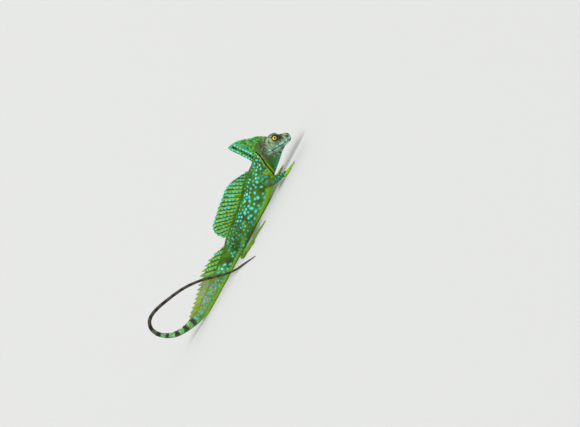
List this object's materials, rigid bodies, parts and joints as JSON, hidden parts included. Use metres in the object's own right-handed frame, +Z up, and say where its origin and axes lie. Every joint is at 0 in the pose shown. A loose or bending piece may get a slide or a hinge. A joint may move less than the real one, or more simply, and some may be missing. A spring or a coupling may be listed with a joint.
{
  "type": "green basilisk model",
  "caption": "Still life-size model of a crested green lizard lying low on a floor, head down and forward, tail looped back over itself, for display or study.",
  "frame": {"origin": "on the floor, under the middle of the whole animal's box", "axes": "+X towards the head, +Y to the animal's left, +Z up"},
  "size_m": [0.37, 0.2256, 0.0959],
  "materials": {
    "body_skin": "soft painted skin with fine scales",
    "head_skin": "soft painted skin with small plates",
    "throat_skin": "soft painted skin with fine scales",
    "crest_skin": "thin painted web between raised rays",
    "tail_skin": "soft painted skin in keeled rings",
    "eye": "clear gloss"
  },
  "bodies": {
    "root": {"neck": "body_skin", "torso": "body_skin", "tail_base": "tail_skin", "tail_middle": "tail_skin", "tail_rise": "tail_skin", "tail_turn": "tail_skin", "tail_return": "tail_skin", "tail_crossing": "tail_skin", "tail_whip": "tail_skin", "head": "head_skin", "eye_l": "eye", "eye_r": "eye", "head_crest_front": "crest_skin", "head_crest": "crest_skin", "throat_pouch": "throat_skin", "dorsal_crest": "crest_skin", "tail_crest": "crest_skin", "upper_arm_l": "body_skin", "forearm_l": "body_skin", "thigh_l": "body_skin", "shank_l": "body_skin", "hand_l": "body_skin", "foot_l": "body_skin", "upper_arm_r": "body_skin", "forearm_r": "body_skin", "thigh_r": "body_skin", "shank_r": "body_skin", "hand_r": "body_skin", "foot_r": "body_skin"}
  },
  "joints": []
}
